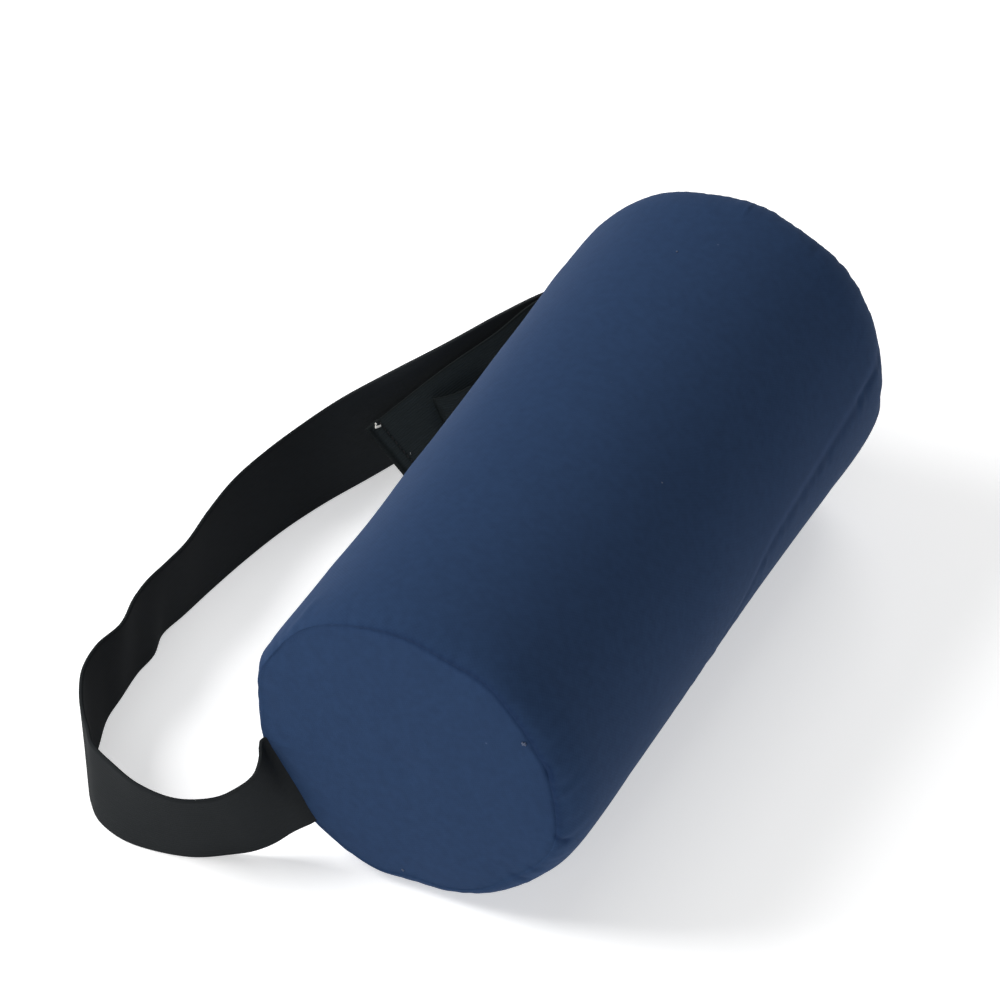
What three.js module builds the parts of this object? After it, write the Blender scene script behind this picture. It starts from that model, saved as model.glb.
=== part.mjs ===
// Lumbar roll: a foam roll in a sewn cloth cover, with a black strap that goes round a chair's back.
// Millimetres, +Z up. The roll lies along Y, and the origin is on the floor under its middle.
// The strap stands on its edge on the floor, on the roll's -X side.
import * as THREE from "three";

// Roll
const ROLL_RADIUS = 63.5;
const SEAM_TO_SEAM = 266;
const FLAT_DEPTH = 0.6;
const AXIS_HEIGHT = ROLL_RADIUS - FLAT_DEPTH;
const HALF_LENGTH = SEAM_TO_SEAM / 2;
const END_CROWN = 1.8;
const CORNER_DEPTH = 18.5;
const SEAM_DIP = 1.1;
const DIP_WIDTH = 2.4;

// Closure seam along the tube: the upper panel laps over the lower one
const LAP_HEIGHT = 0.7;
const LAP_WIDTH = 4;
const LAP_GROOVE = 1;
const GROOVE_WIDTH = 2;

// Strap
const STRAP_WIDTH = 38;
const BAND_THICKNESS = 1.6;
const WEBBING_THICKNESS = 1.4;
const HEM_LENGTH = 6;

// Second ply of webbing on the tab's inner face
const PLY = { length: 24, width: 25, along: 28, down: 6.6, turn: 17, gap: 0.35, lift: 2.6 };

// How far the end seams lie from the roll's axis, all the way round: 0 is +X and 90 is the top.
// They are drawn in and a little angular, and straight where the strap is sewn in, from 194 to 230.
const NEAR_SEAM = [
  { angle: 4, radius: 55.7 },
  { angle: 20, radius: 57.1 },
  { angle: 37, radius: 55.8 },
  { angle: 57, radius: 58 },
  { angle: 74, radius: 55.5 },
  { angle: 90, radius: 57.1 },
  { angle: 112, radius: 58.6 },
  { angle: 130, radius: 61.2 },
  { angle: 150, radius: 61.2 },
  { angle: 165, radius: 60 },
  { angle: 180, radius: 56.6 },
  { angle: 194, radius: 58.4 },
  { angle: 212, radius: 55.8 },
  { angle: 230, radius: 58.6 },
  { angle: 241, radius: 57.5 },
  { angle: 256, radius: 58.8 },
  { angle: 270, radius: 55.5 },
  { angle: 285, radius: 56.7 },
  { angle: 300, radius: 56.2 },
  { angle: 316, radius: 54.9 },
  { angle: 332, radius: 56 },
  { angle: 345, radius: 57.6 },
];
const FAR_SEAM = [
  { angle: 8, radius: 54.7 },
  { angle: 26, radius: 56.6 },
  { angle: 42, radius: 57.6 },
  { angle: 58, radius: 56.2 },
  { angle: 83, radius: 58 },
  { angle: 101, radius: 56.2 },
  { angle: 119, radius: 58.2 },
  { angle: 138, radius: 57.6 },
  { angle: 165, radius: 57.5 },
  { angle: 180, radius: 56.6 },
  { angle: 194, radius: 58.4 },
  { angle: 212, radius: 55.8 },
  { angle: 230, radius: 58.6 },
  { angle: 270, radius: 57 },
  { angle: 315, radius: 57.5 },
  { angle: 346, radius: 57 },
];

// The closure seam's angle round the tube, from the far end to the near end.
const CLOSURE = [
  { y: 133, angle: 13 },
  { y: 104, angle: 7 },
  { y: 72, angle: 3.3 },
  { y: 45, angle: 0.8 },
  { y: 24, angle: -2.5 },
  { y: 4, angle: -12 },
  { y: -25, angle: -24 },
  { y: -70, angle: -33 },
  { y: -133, angle: -40 },
];

// Strap rows: x, y, z is a point of the lower edge, and overX, overY is how far the upper edge
// stands over from it in plan. The strap's width gives the upper edge's height.
const BAND_ROWS = [
  { x: -38.6, y: -133.4, z: 17, overX: -19.4, overY: 0 },
  { x: -44.8, y: -135, z: 12, overX: -9.8, overY: -5.4 },
  { x: -51.8, y: -137.5, z: 6, overX: -2.6, overY: -7.8 },
  { x: -57.8, y: -141.5, z: 2.6, overX: -1.4, overY: -10.2 },
  { x: -64.9, y: -144, z: 0.4, overX: 0.3, overY: -12.3 },
  { x: -76.3, y: -150.7, z: 0, overX: -0.5, overY: -11.4 },
  { x: -90.2, y: -155.1, z: 0, overX: -1.6, overY: -7.2 },
  { x: -102.8, y: -155.2, z: 0, overX: -1.6, overY: -2.2 },
  { x: -114.1, y: -150.3, z: 0, overX: -1, overY: 0.2 },
  { x: -120.5, y: -145.1, z: 0, overX: -1, overY: 0.1 },
  { x: -125, y: -139.6, z: 0, overX: -1, overY: -0.4 },
  { x: -130.6, y: -129.8, z: 0, overX: -1.5, overY: -1.2 },
  { x: -135.2, y: -117.5, z: 0, overX: -2.4, overY: -1.5 },
  { x: -139.2, y: -105.4, z: 0, overX: -0.3, overY: -1 },
  { x: -140.2, y: -93, z: 0, overX: 3, overY: 0 },
  { x: -141, y: -79, z: 0, overX: 1.2, overY: 0 },
  { x: -141.2, y: -68, z: 0, overX: 1, overY: 0 },
  { x: -143.2, y: -57, z: 0, overX: 4.2, overY: 0 },
  { x: -142, y: -44, z: 0, overX: 4.2, overY: 0 },
  { x: -139.2, y: -25, z: 0, overX: 0.3, overY: 0 },
  { x: -135.6, y: -5, z: 0, overX: -3.2, overY: 0 },
  { x: -131, y: 15, z: 0, overX: -4.8, overY: -0.5 },
  { x: -124.4, y: 35, z: 0, overX: -6.5, overY: -1 },
  { x: -116.5, y: 55, z: 0, overX: -8, overY: -2 },
  { x: -108, y: 76, z: 0, overX: -7.8, overY: -2 },
  { x: -97.8, y: 101, z: 0, overX: -6.8, overY: -2 },
  { x: -87.5, y: 125, z: 0, overX: -5.8, overY: -1 },
  { x: -79, y: 143, z: 0.5, overX: -5.5, overY: 0.5 },
  { x: -67.5, y: 152.5, z: 2.5, overX: -6, overY: 2 },
  { x: -55, y: 152, z: 7, overX: -9, overY: 2 },
  { x: -45, y: 144.5, z: 12.5, overX: -14, overY: 1 },
  { x: -37.4, y: 135.1, z: 17.6, overX: -19.4, overY: 0 },
];
const TAB_ROWS = [
  { x: -90, y: 56.8, z: 0, overX: -25.3, overY: -3.8 },
  { x: -85.5, y: 73.2, z: 0.9, overX: -24.4, overY: -3.1 },
  { x: -79, y: 95.5, z: 2, overX: -21.7, overY: -3.8 },
  { x: -75, y: 117.5, z: 3.3, overX: -18.2, overY: -3.6 },
  { x: -72, y: 135, z: 4.6, overX: -13.4, overY: -1.5 },
  { x: -64.5, y: 145.5, z: 6.5, overX: -9.5, overY: 0.5 },
  { x: -54.8, y: 147.4, z: 8.6, overX: -10, overY: 1.5 },
  { x: -46.4, y: 141.4, z: 12.6, overX: -14.5, overY: 0.6 },
  { x: -38.7, y: 133.4, z: 17, overX: -19.4, overY: 0 },
];

// Steps of the mesh. Lengths along a strap are read off in steps of a share of a row.
const RING_STEP = 4.6;
const SEAM_STEPS = [1.1, 2.4, 4.4, 7.4];
const DISC_RINGS = [0.3, 0.6, 0.82, 0.93];
const CORNER_ANGLES = [14, 30, 48, 68, 90];
const TUBE_RINGS = 11;
const BAND_STEPS = 4;
const TAB_STEPS = 5;
const ACROSS_STEPS = 2;
const PLY_STEPS = { along: 6, across: 4 };
const ROW_STEP = 0.02;

const FINISH = {
  cover: { color: 0x2b3f61, roughness: 0.85, metalness: 0 },
  band: { color: 0x1c1e20, roughness: 0.8, metalness: 0 },
  webbing: { color: 0x26292b, roughness: 0.75, metalness: 0 },
};

const degrees = THREE.MathUtils.degToRad;

// A smooth value read off a table of rows, with the first and last rows meeting if it is closed.
function tableValue(rows, key, value, at, period = 0) {
  const count = rows.length;
  const place = (i) => {
    if (!period) return rows[THREE.MathUtils.clamp(i, 0, count - 1)][key];
    return rows[((i % count) + count) % count][key] + period * Math.floor(i / count);
  };
  const level = (i) => {
    const wrapped = period ? ((i % count) + count) % count : THREE.MathUtils.clamp(i, 0, count - 1);
    return rows[wrapped][value];
  };
  const rising = place(1) > place(0);
  let i = -1;
  while (i < count && (rising ? place(i + 1) <= at : place(i + 1) >= at)) i += 1;
  if (!period) i = THREE.MathUtils.clamp(i, 0, count - 2);
  const share = (at - place(i)) / (place(i + 1) - place(i));
  const before = (level(i + 1) - level(i - 1)) / 2;
  const after = (level(i + 2) - level(i)) / 2;
  const s2 = share * share;
  const s3 = s2 * share;
  return (
    (2 * s3 - 3 * s2 + 1) * level(i) +
    (s3 - 2 * s2 + share) * before +
    (3 * s2 - 2 * s3) * level(i + 1) +
    (s3 - s2) * after
  );
}

function seamRadius(end, angle) {
  const turned = ((angle % 360) + 360) % 360;
  return tableValue(end < 0 ? NEAR_SEAM : FAR_SEAM, "angle", "radius", turned, 360);
}

// Raised lap above the closure seam and the groove in it, at a distance round the tube from the seam.
function closureRelief(distance) {
  const lap = distance > 0 ? LAP_HEIGHT * Math.exp(-distance / LAP_WIDTH) : 0;
  return lap - LAP_GROOVE * Math.exp(-((distance / GROOVE_WIDTH) ** 2));
}

// The columns of points follow the closure seam near it and run straighter away from it.
function ringPoint(ring, fromSeam) {
  const follow = (1 + Math.cos(degrees(fromSeam))) / 2;
  const angle = fromSeam + follow * tableValue(CLOSURE, "y", "angle", ring.y);
  const seam = seamRadius(ring.end, angle);
  const shorter = fromSeam > 180 ? fromSeam - 360 : fromSeam;
  const relief = closureRelief(degrees(shorter) * ROLL_RADIUS);
  const corner = degrees(ring.corner);
  const radius = ring.share * (seam + (ROLL_RADIUS - seam + relief) * Math.sin(corner));
  const dip = SEAM_DIP * Math.exp(-(((1 - ring.share) * seam + CORNER_DEPTH * Math.sin(corner)) / DIP_WIDTH));
  const crown = END_CROWN * (1 - ring.share ** 2);
  const inward = CORNER_DEPTH * (1 - Math.cos(corner)) + dip - crown;
  const y = ring.corner < 90 ? ring.end * (HALF_LENGTH - inward) : ring.y;
  const z = AXIS_HEIGHT + radius * Math.sin(degrees(angle));
  return new THREE.Vector3(radius * Math.cos(degrees(angle)), y, Math.max(z, 0));
}

// The rings of points along the roll, from the near end disc's middle to the far one's.
// share is how far out a ring lies on its disc, corner is how far round the edge it has turned,
// and y is where the closure seam's angle is read.
function rollRings() {
  const endRings = (end) => [
    ...DISC_RINGS.map((share) => ({ end, share, corner: 0, y: end * HALF_LENGTH })),
    { end, share: 1, corner: 0, y: end * HALF_LENGTH },
    ...CORNER_ANGLES.map((corner) => ({
      end,
      share: 1,
      corner,
      y: end * (HALF_LENGTH - CORNER_DEPTH * (1 - Math.cos(degrees(corner)))),
    })),
  ];
  const straight = HALF_LENGTH - CORNER_DEPTH;
  const tube = [];
  for (let i = 1; i < TUBE_RINGS; i += 1) {
    const y = straight * ((2 * i) / TUBE_RINGS - 1);
    tube.push({ end: Math.sign(y) || 1, share: 1, corner: 90, y });
  }
  return [...endRings(-1), ...tube, ...endRings(1).reverse()];
}

function ringAngles() {
  const last = SEAM_STEPS[SEAM_STEPS.length - 1];
  const rest = 360 - 2 * last;
  const count = Math.round(rest / RING_STEP);
  const even = Array.from({ length: count - 1 }, (_, i) => last + (rest * (i + 1)) / count);
  const mirrored = SEAM_STEPS.map((step) => 360 - step).reverse();
  return [0, ...SEAM_STEPS, ...even, ...mirrored];
}

function geometryOf(points, triangles) {
  const geometry = new THREE.BufferGeometry();
  const places = points.flatMap((point) => point.toArray());
  geometry.setAttribute("position", new THREE.Float32BufferAttribute(places, 3));
  geometry.setIndex(triangles);
  geometry.computeVertexNormals();
  return geometry;
}

function rollGeometry() {
  const rings = rollRings();
  const angles = ringAngles();
  const turn = angles.length;
  const points = rings.flatMap((ring) => angles.map((angle) => ringPoint(ring, angle)));
  const triangles = [];
  for (let r = 0; r + 1 < rings.length; r += 1) {
    for (let c = 0; c < turn; c += 1) {
      const a = r * turn + c;
      const b = r * turn + ((c + 1) % turn);
      triangles.push(a, a + turn, b, b, a + turn, b + turn);
    }
  }
  for (const end of [-1, 1]) {
    const middle = points.length;
    points.push(new THREE.Vector3(0, end * (HALF_LENGTH + END_CROWN), AXIS_HEIGHT));
    const first = end < 0 ? 0 : (rings.length - 1) * turn;
    for (let c = 0; c < turn; c += 1) {
      const next = first + ((c + 1) % turn);
      triangles.push(...(end < 0 ? [middle, first + c, next] : [middle, next, first + c]));
    }
  }
  return geometryOf(points, triangles);
}

// A strap's surface as two edge curves, read at a place counted in rows.
class StrapPath {
  constructor(rows) {
    const low = rows.map((row) => new THREE.Vector3(row.x, row.y, row.z));
    const top = rows.map((row) => {
      const rise = Math.sqrt(STRAP_WIDTH ** 2 - row.overX ** 2 - row.overY ** 2);
      return new THREE.Vector3(row.x + row.overX, row.y + row.overY, row.z + rise);
    });
    this.last = rows.length - 1;
    this.low = new THREE.CatmullRomCurve3(low, false, "centripetal");
    this.top = new THREE.CatmullRomCurve3(top, false, "centripetal");
  }

  // The point a share of the way up the strap, and the way that the strap faces there.
  at(place, share) {
    const t = place / this.last;
    const low = this.low.getPoint(t);
    const top = this.top.getPoint(t);
    const along = this.low.getTangent(t).lerp(this.top.getTangent(t), share);
    const facing = along.cross(top.clone().sub(low)).normalize();
    return { point: low.lerp(top, share), facing };
  }

  // The place in rows at a length along the strap's middle.
  placeAt(length) {
    let place = 0;
    let gone = 0;
    let from = this.at(0, 0.5).point;
    while (gone < length && place < this.last) {
      const to = this.at(place + ROW_STEP, 0.5).point;
      gone += to.distanceTo(from);
      from = to;
      place += ROW_STEP;
    }
    return place;
  }
}

// A closed strip: at each place a flat section from the lower edge to the upper edge.
// front and back say how far the two faces lie from the path there.
function stripGeometry(path, places, depths) {
  const shares = Array.from({ length: ACROSS_STEPS + 1 }, (_, i) => i / ACROSS_STEPS);
  const points = [];
  places.forEach((place, i) => {
    const { front, back } = depths(i);
    const side = (share, depth) => {
      const { point, facing } = path.at(place, share);
      const corner = point.addScaledVector(facing, depth);
      corner.z = Math.max(corner.z, 0);
      return corner;
    };
    shares.forEach((share) => points.push(side(share, front)));
    [...shares].reverse().forEach((share) => points.push(side(share, -back)));
  });
  return loopGeometry(points, 2 * shares.length, places.length);
}

// Closed loops of points in a row, with a flat cap at each end.
function loopGeometry(points, loop, count) {
  const triangles = [];
  for (let r = 0; r + 1 < count; r += 1) {
    for (let c = 0; c < loop; c += 1) {
      const a = r * loop + c;
      const b = r * loop + ((c + 1) % loop);
      triangles.push(a, a + loop, b, b, a + loop, b + loop);
    }
  }
  const last = (count - 1) * loop;
  for (let c = 0; 2 * c + 2 < loop; c += 1) {
    const [a, b, d, e] = [c, c + 1, loop - 2 - c, loop - 1 - c];
    triangles.push(a, b, e, last + a, last + e, last + b);
    if (b !== d) triangles.push(b, d, e, last + b, last + e, last + d);
  }
  return geometryOf(points, triangles);
}

function evenPlaces(path, steps) {
  const count = path.last * steps;
  return Array.from({ length: count + 1 }, (_, i) => i / steps);
}

function bandGeometry() {
  const path = new StrapPath(BAND_ROWS);
  const half = BAND_THICKNESS / 2;
  return stripGeometry(path, evenPlaces(path, BAND_STEPS), () => ({ front: half, back: half }));
}

// The tab's free end is turned under for a hem, on the face away from the roll.
function tabGeometry(path) {
  const half = WEBBING_THICKNESS / 2;
  const hem = path.placeAt(HEM_LENGTH);
  const doubled = [0, hem / 2, hem];
  const single = evenPlaces(path, TAB_STEPS).filter((place) => place > hem + ROW_STEP);
  return stripGeometry(path, [...doubled, hem + ROW_STEP, ...single], (i) => ({
    front: half,
    back: i < doubled.length ? half + WEBBING_THICKNESS : half,
  }));
}

// A short second ply, turned a little against the tab and lying on the tab's inner face.
// p goes along the ply and q down it, and its upper corner away from the tab's end lifts off.
function plyGeometry(path) {
  const turn = degrees(PLY.turn);
  const side = (p, q, depth) => {
    const along = PLY.along + p * PLY.length * Math.cos(turn) - q * PLY.width * Math.sin(turn);
    const down = PLY.down + p * PLY.length * Math.sin(turn) + q * PLY.width * Math.cos(turn);
    const { point, facing } = path.at(path.placeAt(along), 1 - down / STRAP_WIDTH);
    const lift = PLY.lift * p * (1 - q);
    const corner = point.addScaledVector(facing, WEBBING_THICKNESS / 2 + PLY.gap + lift + depth);
    corner.z = Math.max(corner.z, 0);
    return corner;
  };
  const shares = Array.from({ length: PLY_STEPS.across + 1 }, (_, i) => 1 - i / PLY_STEPS.across);
  const points = [];
  for (let i = 0; i <= PLY_STEPS.along; i += 1) {
    const p = i / PLY_STEPS.along;
    shares.forEach((q) => points.push(side(p, q, WEBBING_THICKNESS)));
    [...shares].reverse().forEach((q) => points.push(side(p, q, 0)));
  }
  return loopGeometry(points, 2 * shares.length, PLY_STEPS.along + 1);
}

function namedMesh(name, geometry, finish) {
  const mesh = new THREE.Mesh(geometry, new THREE.MeshStandardMaterial(finish));
  mesh.name = name;
  return mesh;
}

const tabPath = new StrapPath(TAB_ROWS);
const lumbarRoll = new THREE.Group();
lumbarRoll.add(
  namedMesh("roll", rollGeometry(), FINISH.cover),
  namedMesh("strap_band", bandGeometry(), FINISH.band),
  namedMesh("strap_tab", tabGeometry(tabPath), FINISH.webbing),
  namedMesh("strap_ply", plyGeometry(tabPath), FINISH.webbing),
);

export default lumbarRoll;
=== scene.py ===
"""Lumbar roll: a foam roll in a sewn cloth cover, with a flat strap that goes round a chair's back.

The roll lies along Y, with the origin on the floor under its middle and the strap on its -X side.
The tables and formulas below are in millimetres, and meshes are in metres.
"""

import logging
import math
from dataclasses import dataclass
from enum import Enum

import bpy
import numpy as np
from mathutils import Matrix, Vector
from mathutils.bvhtree import BVHTree


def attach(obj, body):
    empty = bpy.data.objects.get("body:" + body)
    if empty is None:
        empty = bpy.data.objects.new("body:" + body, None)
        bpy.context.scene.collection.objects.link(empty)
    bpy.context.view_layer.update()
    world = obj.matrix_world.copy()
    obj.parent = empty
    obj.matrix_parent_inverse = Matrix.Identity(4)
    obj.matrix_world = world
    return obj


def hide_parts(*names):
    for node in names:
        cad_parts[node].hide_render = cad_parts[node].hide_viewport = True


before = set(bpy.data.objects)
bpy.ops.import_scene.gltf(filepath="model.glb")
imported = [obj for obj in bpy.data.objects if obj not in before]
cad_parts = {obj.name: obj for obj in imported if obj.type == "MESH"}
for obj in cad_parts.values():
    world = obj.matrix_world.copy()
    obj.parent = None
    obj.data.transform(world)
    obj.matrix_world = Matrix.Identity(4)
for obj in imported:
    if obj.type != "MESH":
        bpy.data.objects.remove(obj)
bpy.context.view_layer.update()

log = logging.getLogger("lumbar_roll")

MM = 0.001
ROLL_RADIUS = 63.5
AXIS_HEIGHT = 62.9
HALF_LENGTH = 133.0
SEAM_RADIUS = 57.0
STRAP_WIDTH = 38.0
FLOOR_GAP = 0.05
STITCH_RADIUS = 0.3

Pairs = tuple[tuple[float, float], ...]
Rows = tuple[tuple[float, float, float, float, float], ...]
Point = tuple[float, float, float]
Span = tuple[float, float]
Value = float | bpy.types.NodeSocket


class End(Enum):
    """The two ends of the roll, as the side of the middle that each is on."""

    NEAR = -1
    FAR = 1


class Thread(Enum):
    """Which thread a small piece is made of."""

    BLACK = "black"
    UNDYED = "undyed"
    LINT = "lint"


# Angle round the axis in degrees, 0 at +X and 90 at the top, and the seam's distance from the axis.
# The seams are straight where the strap is sewn in, from 194 to 230.
NEAR_SEAM: Pairs = (
    (4, 56.2),
    (12, 55.9),
    (20, 56),
    (28, 55),
    (37, 55.3),
    (46, 55.8),
    (57, 57.1),
    (74, 55.5),
    (90, 57.1),
    (112, 58.6),
    (130, 60.8),
    (150, 60),
    (165, 60.4),
    (180, 58.4),
    (194, 58.4),
    (212, 55.8),
    (230, 58.6),
    (241, 59.2),
    (256, 59.2),
    (270, 55.5),
    (285, 56.7),
    (300, 56.6),
    (316, 55.2),
    (332, 56.6),
    (346, 58),
)
FAR_SEAM: Pairs = (
    (8, 54.7),
    (26, 56.6),
    (42, 57.6),
    (58, 56.2),
    (83, 58),
    (101, 56.2),
    (119, 58.2),
    (138, 57.6),
    (165, 57.5),
    (180, 56.6),
    (194, 58.4),
    (212, 55.8),
    (230, 58.6),
    (270, 57),
    (315, 58),
    (332, 59),
    (345, 59.2),
)

# Place along the roll and the closure seam's angle there.
CLOSURE: Pairs = (
    (-133, -40),
    (-70, -33),
    (-25, -24),
    (4, -12),
    (24, -2.5),
    (45, 0.8),
    (72, 3.3),
    (104, 7),
    (133, 13),
)

# How much the cloth is gathered along each end seam, by angle.
NEAR_GATHER: Pairs = (
    (0, 0.6),
    (20, 0.55),
    (45, 0.35),
    (75, 0.3),
    (105, 0.3),
    (130, 0.5),
    (155, 0.5),
    (185, 0.3),
    (212, 0.2),
    (240, 0.2),
    (280, 0.25),
    (310, 0.4),
    (338, 0.6),
)
FAR_GATHER: Pairs = (
    (0, 0.4),
    (30, 0.5),
    (60, 0.5),
    (90, 0.4),
    (120, 0.35),
    (180, 0.35),
    (212, 0.3),
    (250, 0.4),
    (300, 0.4),
)

# How deep each end seam draws in, by angle, and so how much painted shade lies along it: on its left and
# underneath the near disc runs nearly flush.
NEAR_DRAW: Pairs = (
    (0, 0.7),
    (20, 0.85),
    (60, 0.8),
    (90, 0.65),
    (104, 0.5),
    (114, 0.32),
    (125, 0.15),
    (135, 0.05),
    (145, 0.02),
    (160, 0.02),
    (250, 0.02),
    (336, 0.02),
    (345, 0.05),
    (350, 0.4),
    (354, 0.6),
)
FAR_DRAW: Pairs = (
    (0, 0.8),
    (60, 0.8),
    (120, 0.6),
    (200, 0.5),
    (280, 0.6),
)

# Strap rows: a point of the lower edge, and how far the upper edge stands over from it in plan.
BAND_ROWS: Rows = (
    (-36.4, -130.2, 17.8, -19.4, 0),
    (-38.6, -133.4, 17, -19.4, 0),
    (-44.8, -135.3, 12, -9.8, -5.1),
    (-51.3, -138.5, 6, -3.6, -6.5),
    (-57.6, -141.9, 2.6, -2, -9.4),
    (-64.6, -144.7, 0.4, -0.5, -10.8),
    (-75.9, -151.6, 0, -1, -10.1),
    (-90.2, -155.3, 0, -1.5, -6.6),
    (-102.9, -155.6, 0, -1.5, -1.9),
    (-114.7, -151.3, 0, -1.5, -0.2),
    (-120.9, -145.5, 0, -0.7, 0.4),
    (-125.2, -139.7, 0, -0.9, -0.4),
    (-130.5, -129.8, 0, -1.9, -1.3),
    (-134.9, -117.5, 0, -3.2, -1.7),
    (-138.8, -105.3, 0, -0.8, -1.1),
    (-139.9, -93, 0, 2.5, 0),
    (-141, -79, 0, 1.1, 0),
    (-140.4, -68, 0, 0.1, 0),
    (-143.2, -57, 0, 4.2, 0),
    (-141.3, -44, 0, 3.5, 0),
    (-138.6, -25, 0, -0.4, 0),
    (-135.1, -5, 0, -4.1, 0),
    (-130.5, 15, 0, -5.8, -0.5),
    (-124, 35, 0, -7.7, -0.6),
    (-115.8, 55, 0, -10.6, -1.2),
    (-107.6, 76, 0, -9.8, -1.3),
    (-97.8, 101, 0, -8, -1.5),
    (-87.5, 125, 0, -7.7, -0.2),
    (-79, 143, 0.5, -5.9, 0.7),
    (-67.5, 152.5, 2.5, -6, 2),
    (-55, 152, 7, -9, 2),
    (-45, 144.5, 12.5, -14, 1),
    (-37.4, 135.1, 17.6, -19.4, 0),
    (-35.6, 132, 18.3, -19.4, 0),
)
TAB_ROWS: Rows = (
    (-89.8, 54.3, 0, -23.4, -3.5),
    (-84.8, 73.2, 0.9, -24.4, -3.1),
    (-80.1, 95.5, 2, -21.7, -3.8),
    (-74.2, 117.5, 3.3, -18.2, -3.6),
    (-71.8, 135, 4.6, -13.4, -1.5),
    (-64.5, 145.5, 6.5, -9.5, 0.5),
    (-54.8, 147.4, 8.6, -10, 1.5),
    (-46.4, 141.4, 12.6, -14.5, 0.6),
    (-38.7, 133.4, 17, -19.4, 0),
    (-36.9, 129.8, 17.4, -19.4, 0),
)

# Painted light on the band's inner face, by place along the roll: it is painted paler towards the far end,
# most where it lies behind the tab, where the roll and the tab keep the light off it.
BAND_PAINTED_LIGHT: Pairs = (
    (-60, 0),
    (0, 0.05),
    (35, 0.15),
    (80, 1),
    (140, 1),
)


def smooth_reading(rows: Pairs, at: np.ndarray, period: float = 0.0) -> np.ndarray:
    """Read a smooth curve through the rows of a table.

    Args:
        rows: Places in rising order, each with its value.
        at: The places to read.
        period: The length after which the table repeats, or 0 if it doesn't.

    Returns:
        The value at each place.
    """
    places, levels = (np.array(column, float) for column in zip(*rows))
    if period:
        at = (at - places[0]) % period + places[0]
        places = np.concatenate([places[-1:] - period, places, places[:2] + period])
        levels = np.concatenate([levels[-1:], levels, levels[:2]])
    else:
        places = np.concatenate([places[:1] * 2 - places[1], places, places[-1:] * 2 - places[-2]])
        levels = np.concatenate([levels[:1], levels, levels[-1:]])
    i = np.clip(np.searchsorted(places, at, side="right") - 1, 1, len(places) - 3)
    share = (at - places[i]) / (places[i + 1] - places[i])
    before = (levels[i + 1] - levels[i - 1]) / 2
    after = (levels[i + 2] - levels[i]) / 2
    s2, s3 = share**2, share**3
    return (
        (2 * s3 - 3 * s2 + 1) * levels[i]
        + (s3 - 2 * s2 + share) * before
        + (3 * s2 - 2 * s3) * levels[i + 1]
        + (s3 - s2) * after
    )


def by_end(end: np.ndarray, angle: np.ndarray, near: Pairs, far: Pairs) -> np.ndarray:
    """Read the near or the far end's table round the roll, at an angle in radians."""
    degrees = np.degrees(angle)
    return np.where(end < 0, smooth_reading(near, degrees, 360), smooth_reading(far, degrees, 360))


def bell(distance: np.ndarray, width: float | np.ndarray) -> np.ndarray:
    """A smooth bump of height 1 that falls to about a third at its width."""
    return np.exp(-((distance / width) ** 2))


def ripples(
    rng: np.random.Generator, angle: np.ndarray, radius: float, pitches: tuple[float, float]
) -> np.ndarray:
    """Uneven waves round the roll that meet themselves after a turn.

    Args:
        rng: The seeded source of the waves' phases.
        angle: Angles in radians.
        radius: The radius at which the pitches hold.
        pitches: The shortest and the longest wave in mm.

    Returns:
        The waves' height at each angle, mostly between -1 and 1.
    """
    low, high = (int(2 * math.pi * radius / pitch) for pitch in reversed(pitches))
    counts = np.unique(np.linspace(low, high, 14).astype(int))
    total = np.zeros_like(angle)
    for count in counts:
        total += np.cos(count * angle + rng.uniform(0, 2 * math.pi))
    return total / math.sqrt(len(counts))


def grid_normals(points: np.ndarray) -> np.ndarray:
    """Outward normals of a grid whose rows run along the roll and whose columns close round it."""
    along = np.gradient(points, axis=0)
    around = np.roll(points, -1, axis=1) - np.roll(points, 1, axis=1)
    normals = np.cross(along, around)
    return normals / np.maximum(np.linalg.norm(normals, axis=2, keepdims=True), 1e-9)


def segment_distance(points: np.ndarray, start: Point, end: Point) -> tuple[np.ndarray, np.ndarray]:
    """Distance of each point from a line between two points.

    Returns:
        The distances, and how far along the line each nearest place is, from 0 to 1.
    """
    a, b = np.array(start), np.array(end)
    share = np.clip((points - a) @ (b - a) / max((b - a) @ (b - a), 1e-9), 0, 1)
    return np.linalg.norm(points - a - share[..., None] * (b - a), axis=-1), share


def deselect() -> None:
    """Leave nothing selected, the CAD nodes among them."""
    for item in bpy.context.selected_objects:
        item.select_set(False)


def make_active(piece: bpy.types.Object) -> bpy.types.Object:
    """Select one object alone and make it the active one."""
    deselect()
    piece.select_set(True)
    bpy.context.view_layer.objects.active = piece
    return piece


def mesh_piece(name: str, points: np.ndarray, faces: list[tuple[int, ...]]) -> bpy.types.Object:
    """Make a smooth-shaded mesh object.

    Args:
        name: The piece's name.
        points: Corner places in mm, one row each.
        faces: Corner numbers of each face.

    Returns:
        The new object, at the origin.
    """
    mesh = bpy.data.meshes.new(name)
    mesh.from_pydata((points.reshape(-1, 3) * MM).tolist(), [], faces)
    mesh.update()
    piece = bpy.data.objects.new(name, mesh)
    bpy.context.scene.collection.objects.link(piece)
    make_active(piece)
    bpy.ops.object.shade_smooth()
    return piece


def ring_faces(rows: int, loop: int) -> tuple[np.ndarray, np.ndarray, np.ndarray]:
    """The faces between rows of points that each close round a piece.

    Args:
        rows: How many rows there are.
        loop: How many points a row has.

    Returns:
        For the four corners of each face: its row, its column, which is the row's length where the face
        closes the row, and its number.
    """
    row, column = (part.ravel() for part in np.mgrid[0 : rows - 1, 0:loop])
    corner_rows = np.stack([row, row + 1, row + 1, row], axis=1)
    corner_columns = np.stack([column, column, column + 1, column + 1], axis=1)
    return corner_rows, corner_columns, corner_rows * loop + corner_columns % loop


def set_uv(piece: bpy.types.Object, uv: np.ndarray) -> None:
    """Give a mesh its UV map in mm, a row for each corner of each face."""
    layer = piece.data.uv_layers.new(name="cloth")
    layer.data.foreach_set("uv", uv.astype(np.float32).ravel())


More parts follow.
